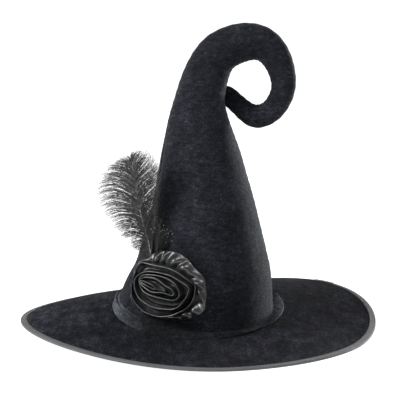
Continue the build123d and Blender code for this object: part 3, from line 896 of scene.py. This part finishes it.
def barb(strands, rng, start, lead, tip, droop, thick=0.26, barbules=1.0):
    """One ostrich barb: leaves along lead, arches over and droops to its tip, with barbules."""
    reach = np.linalg.norm(tip - start)
    path = bezier(start, start + lead * 0.42 * reach, tip - droop * 0.34 * reach, tip,
                  BARB_POINTS)
    wave = np.sin(np.linspace(0, 1, BARB_POINTS) * rng.uniform(6, 11) + rng.uniform(0, CYCLE))
    path = path + wave[:, None] * rng.normal(0, 0.2, 3) * np.linspace(0, 1, BARB_POINTS)[:, None]
    strands.add(path, thick)
    ahead = unit(np.gradient(path, axis=0))
    count = int(reach * 0.7 * barbules)
    for place in rng.uniform(0.12, 1.0, count):
        at = place * (BARB_POINTS - 1)
        low = min(int(at), BARB_POINTS - 2)
        here = path[low] + (path[low + 1] - path[low]) * (at - low)
        away = unit(ahead[low] * 0.9 + rng.normal(0, 0.55, 3))
        strands.needle(here, here + away * rng.uniform(0.9, 2.3), ahead[low] * 0.11)


def vane(name, tips, side, count, seed, node):
    """One side of the plume: barbs in loose clumps, which part at their ends."""
    rng = np.random.default_rng(seed)
    strands = Strands()
    rachis = even_path([row[:3] for row in QUILL[2:]], 200)
    along = unit(np.gradient(rachis, axis=0))
    ends = even_path([(x, 0, z) for x, z in tips], 200)
    for number in range(count):
        share = (number + rng.uniform(0, 0.8)) / count
        clump = np.random.default_rng(seed + 100 + number // CLUMP).normal(0, 1, 3)
        row = min(int(share * 199), 199)
        forward = 1.1 * (number % 2) - 0.6 * (share < 0.5)
        start = rachis[row] + rng.normal(0, 0.35, 3) - (0, forward, 0)
        middle = (number // CLUMP + 0.5) * CLUMP / count
        aim = 0.6 * share + 0.4 * middle + 0.008 * clump[0] + rng.normal(0, 0.012)
        tip = ends[min(max(int(aim * 199), 0), 199)].copy()
        shrink = 1.03 - abs(rng.normal(0, 0.19)) - 0.04 * abs(clump[2])
        tip[1] = plume_depth(tip[0]) + 3.0 * clump[1] + rng.normal(0, 1.4)
        tip = start + (tip - start) * shrink + rng.normal(0, 0.9, 3) * (1, 0.6, 1)
        sideways = np.array((side, -side * 0.5, 0.0))
        top = max(0.0, (share - 0.7) / 0.3)
        if side < 0:
            lead = unit(along[row] * (0.55 + 0.6 * share) + sideways * (1.1 - 0.6 * top)
                        + (0, rng.normal(0, 0.22), 0))
            droop = np.array((-0.9, 0.4, -0.7 + 1.2 * top))
        else:
            lead = unit(along[row] + sideways * 0.18 + (0, rng.normal(0, 0.22), 0))
            droop = np.array((0.3 + 0.5 * top, -0.2, 1.0 - 0.6 * top))
        barb(strands, rng, start, lead, tip, unit(droop + rng.normal(0, 0.16, 3)))
        strands.finish(int(np.clip(rng.normal(1.0 + 0.5 * clump[2], 0.75), 0, 2.99)))
    piece = strands.piece(name, PLUME_TONES)
    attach(piece, "feather")
    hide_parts(node)


def tuft(name, seed, node):
    """Short barbs that stand up from the rosette, with pale ends."""
    rng = np.random.default_rng(seed)
    strands, pale = Strands(), Strands()
    ends = even_path([(x, 0, z) for x, z in TUFT_TIPS], 100)
    root = np.array((-47.0, -66.0, 106.0))
    for number in range(TUFT_BARBS):
        tip = ends[rng.integers(0, 100)].copy()
        tip[1] = -66 + rng.normal(0, 2.0)
        start = root + rng.normal(0, 1.5, 3)
        tip = start + (tip - start) * rng.uniform(0.55, 1.0)
        lead = unit((tip - start) * (0.6, 1, 1.3) + rng.normal(0, 1.5, 3))
        droop = unit((tip - start) * (1.5, 1, 0.4) + rng.normal(0, 2.0, 3))
        barb(strands, rng, start, lead, tip, droop, 0.24, 1.3)
        strands.finish(number % 2)
        if number % 4 == 0:
            end = tip + unit(tip - start) * 1.6
            pale.add(np.linspace(tip, end, 4), 0.42, 0.6)
    piece = strands.piece(name, PLUME_TONES)
    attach(piece, "feather")
    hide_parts(node)
    ends_piece = mesh_object(name + "_ends", pale.points, pale.faces)
    dress(ends_piece, QUILL_HORN)
    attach(ends_piece, "feather")


rosette()
vane("plume_left_barbs", LEFT_TIPS, -1, 820, 11, "feather_left_vane")
vane("plume_right_barbs", RIGHT_TIPS, 1, 900, 23, "feather_right_vane")
tuft("plume_tuft_barbs", 37, "feather_tuft")


# ==== stage, light and camera ================================================================
def studio():
    """White lit floor, a pale surround and three soft lights."""
    lines = [-30000, -10000, -3000, 0, 3000, 10000, 30000]
    grid = np.array([[(x, y, 0) for x in lines] for y in lines], float)
    floor = grid_object("studio_floor", grid)
    m = Nodes("white_floor")
    m.color(m.ramp(m.noise(3, 2), ((0.3, (0.42, 0.42, 0.42)), (0.7, (0.46, 0.46, 0.46)))))
    m.set(Roughness=0.9, Specular_IOR_Level=0.1, Emission_Strength=1.0)
    m.shader.inputs["Emission Color"].default_value = (1, 1, 1, 1)
    dress(floor, m.material)
    world = bpy.data.worlds.new("studio")
    bpy.context.scene.world = world
    world.use_nodes = True
    world.node_tree.nodes["Background"].inputs["Color"].default_value = (1, 1, 1, 1)
    world.node_tree.nodes["Background"].inputs["Strength"].default_value = 0.36
    for name, place, size, power in (
        ("key_left", (-1.8, -0.7, 1.4), 0.8, 54.0),
        ("top", (-0.1, -0.6, 2.0), 0.7, 16.0),
        ("rim_right", (1.4, 1.4, 0.22), 0.5, 62.0),
    ):
        light = bpy.data.lights.new(name, "AREA")
        light.size, light.energy = size, power
        holder = bpy.data.objects.new(name, light)
        holder.location = place
        aim = Vector((0, 0, 0.15)) - Vector(place)
        holder.rotation_euler = aim.to_track_quat("-Z", "Y").to_euler()
        bpy.context.collection.objects.link(holder)


def camera():
    """Camera at the front, a little above the brim."""
    data = bpy.data.cameras.new("camera")
    data.lens = LENS
    data.sensor_width = 36.0
    holder = bpy.data.objects.new("camera", data)
    offset = Vector((0, -math.cos(VIEW_RISE), math.sin(VIEW_RISE))) * VIEW_DISTANCE
    holder.location = VIEW_TARGET + offset
    holder.rotation_euler = (math.pi / 2 - VIEW_RISE, 0, 0)
    bpy.context.collection.objects.link(holder)
    bpy.context.scene.camera = holder


studio()
camera()
bpy.context.scene.view_settings.view_transform = "Standard"

for piece, material_slot in (
    (brim_top, "velvet"), (brim_under, "velvet"), (binding, "binding_ribbon"),
    (stitches, "thread"), (flange, "velvet"), (front, "velvet"), (back, "velvet"),
    (tip, "velvet"),
):
    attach(piece, "root")

# The look for each material slot of the pieces kept from the CAD.
LOOKS = {
    "stiffener": BUCKRAM, "sweatband_ribbon": SWEATBAND, "lining_cloth": LINING,
    "wadding": WADDING, "felt": FELT, "thread": THREAD, "steel_wire": WIRE, "quill": QUILL_HORN,
    "satin": SATIN, "plume": PLUME, "velvet": VELVET, "binding_ribbon": BINDING,
}
for entry in frame["record"]["subparts"]:
    dress(frame["nodes"][entry["node"]], LOOKS[entry["material_slot"]])
